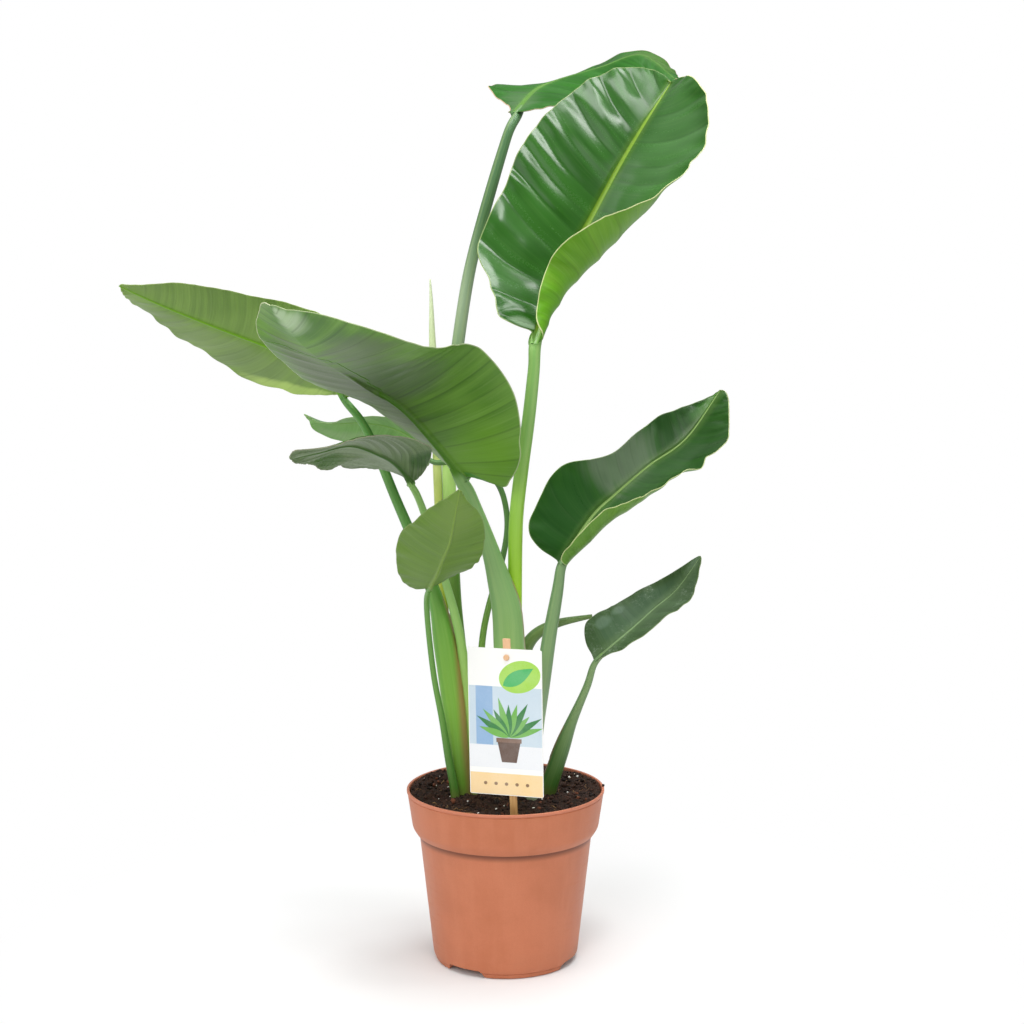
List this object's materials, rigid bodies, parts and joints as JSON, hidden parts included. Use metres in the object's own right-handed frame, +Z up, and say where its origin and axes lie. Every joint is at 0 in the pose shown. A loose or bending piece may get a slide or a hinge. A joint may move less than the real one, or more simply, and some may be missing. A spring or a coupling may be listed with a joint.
{
  "type": "potted bird of paradise plant",
  "caption": "Young bird of paradise plant with broad leaves on long stalks, in soil in a terracotta-coloured nursery pot with a label card on a stick.",
  "frame": {"origin": "middle of the pot's underside, on the surface that the pot stands on", "axes": "+Z up, the plant's tallest way. -Y is the front, where the label card stands and from which the picture was taken. +X is to the right in that view. The spread of the leaves is widest along X and least along Y."},
  "size_m": [0.5608, 0.4495, 0.8754],
  "materials": {
    "pot_plastic": "satin",
    "potting_soil": "matte",
    "label_card": "gloss",
    "stick_wood": "matte",
    "blade_dark_green": "gloss",
    "blade_mid_green": "satin",
    "blade_light_green": "satin",
    "stalk_green": "satin",
    "new_leaf_green": "satin"
  },
  "bodies": {
    "root": {"pot": "pot_plastic", "soil": "potting_soil", "label_card": "label_card", "label_stick": "stick_wood", "leaf_upper_front_blade": "blade_dark_green", "leaf_upper_front_stalk": "stalk_green", "leaf_upper_back_blade": "blade_mid_green", "leaf_upper_back_stalk": "stalk_green", "leaf_far_left_blade": "blade_light_green", "leaf_far_left_stalk": "stalk_green", "leaf_broad_left_blade": "blade_mid_green", "leaf_broad_left_stalk": "stalk_green", "leaf_slim_left_blade": "blade_mid_green", "leaf_slim_left_stalk": "stalk_green", "leaf_arched_left_blade": "blade_light_green", "leaf_arched_left_stalk": "stalk_green", "leaf_small_front_blade": "blade_light_green", "leaf_small_front_stalk": "stalk_green", "leaf_right_high_blade": "blade_dark_green", "leaf_right_high_stalk": "stalk_green", "leaf_right_low_blade": "blade_dark_green", "leaf_right_low_stalk": "stalk_green", "spear": "new_leaf_green", "cut_stalk": "stalk_green"}
  },
  "joints": []
}
